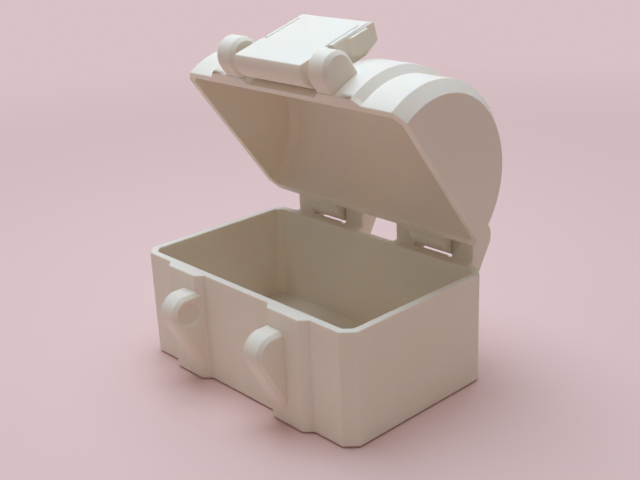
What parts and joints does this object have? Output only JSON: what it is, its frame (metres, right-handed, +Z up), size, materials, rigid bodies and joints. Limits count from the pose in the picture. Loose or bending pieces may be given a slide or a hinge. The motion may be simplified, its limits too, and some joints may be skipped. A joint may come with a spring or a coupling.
{
  "type": "treasure chest",
  "caption": "Small printed plastic treasure chest: open tub, half-barrel lid on pinned rear hinges, and a front latch that folds back over the lid or closes between two lugs.",
  "frame": {"origin": "centre of the tub's flat underside", "axes": "+Z up, front with the latch lugs facing -Y, rear hinges at +Y, +X to the right seen from the front"},
  "size_m": [0.08, 0.0709, 0.0918],
  "materials": {
    "box": "matt white printed plastic",
    "lid": "matt white printed plastic",
    "latch": "matt white printed plastic",
    "pin": "matt white plastic rod"
  },
  "bodies": {
    "box": {"box": "box", "hinge_pin_left": "pin", "hinge_pin_right": "pin"},
    "lid": {"lid": "lid", "latch_pin": "pin"},
    "latch": {"latch": "latch"}
  },
  "joints": [
    {"name": "lid_hinge", "type": "hinge", "parent": "box", "child": "lid", "pos_m": [0, 0.0302, 0.0353], "axis": [-1, 0, 0], "range_deg": [-53.5, 56.5]},
    {"name": "latch_hinge", "type": "hinge", "parent": "lid", "child": "latch", "pos_m": [0, -0.00561, 0.08369], "axis": [-1, 0, 0], "range_deg": [-200, 0]}
  ]
}
